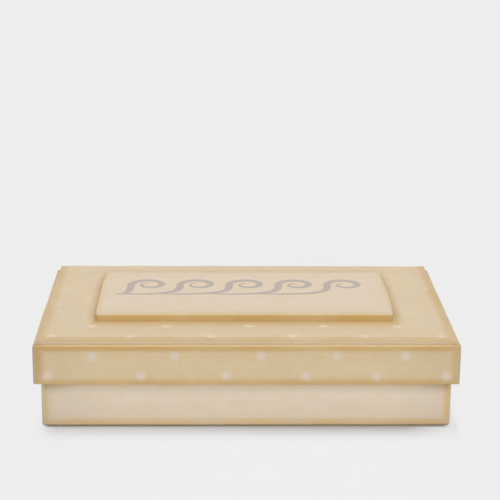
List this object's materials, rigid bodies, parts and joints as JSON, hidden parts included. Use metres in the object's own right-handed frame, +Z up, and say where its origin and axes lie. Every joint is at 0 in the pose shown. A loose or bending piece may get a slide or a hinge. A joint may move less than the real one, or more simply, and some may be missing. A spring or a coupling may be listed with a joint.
{
  "type": "wooden keepsake box with lift-off lid",
  "caption": "Shallow painted wooden box with an overlapping lid that lifts straight off, a stepped top board and a raised plaque; polka dots on the lid and rubbed brown edges.",
  "frame": {"origin": "centre of the underside, where the box stands on its surface", "axes": "+X to the box's right as seen from the front, -Y towards the front, +Z up through the lid"},
  "size_m": [0.3, 0.19, 0.0714],
  "materials": {
    "lid_paint": "satin cream paint over wood, with brown glaze rubbed into the edges and white dots",
    "base_paint": "satin pale cream paint over wood, with brown glaze at the edges",
    "plaque_paint": "satin pale cream paint over wood, with a grey brushed ornament",
    "bottom_board_wood": "bare plywood, lightly sanded",
    "steel_pin": "plain bright wire"
  },
  "bodies": {
    "base": {"base_front_wall": "base_paint", "base_back_wall": "base_paint", "base_left_wall": "base_paint", "base_right_wall": "base_paint", "base_bottom_board": "bottom_board_wood", "base_corner_pins": "steel_pin", "base_bottom_pins": "steel_pin"},
    "lid": {"lid_front_rail": "lid_paint", "lid_back_rail": "lid_paint", "lid_left_rail": "lid_paint", "lid_right_rail": "lid_paint", "lid_top_board": "lid_paint", "lid_plaque": "plaque_paint", "lid_corner_pins": "steel_pin", "lid_board_pins": "steel_pin", "lid_plaque_pins": "steel_pin"}
  },
  "joints": [
    {"name": "lid_lift", "type": "slide", "parent": "base", "child": "lid", "axis": [0, 0, 1], "range_m": [0, 0.1]}
  ]
}
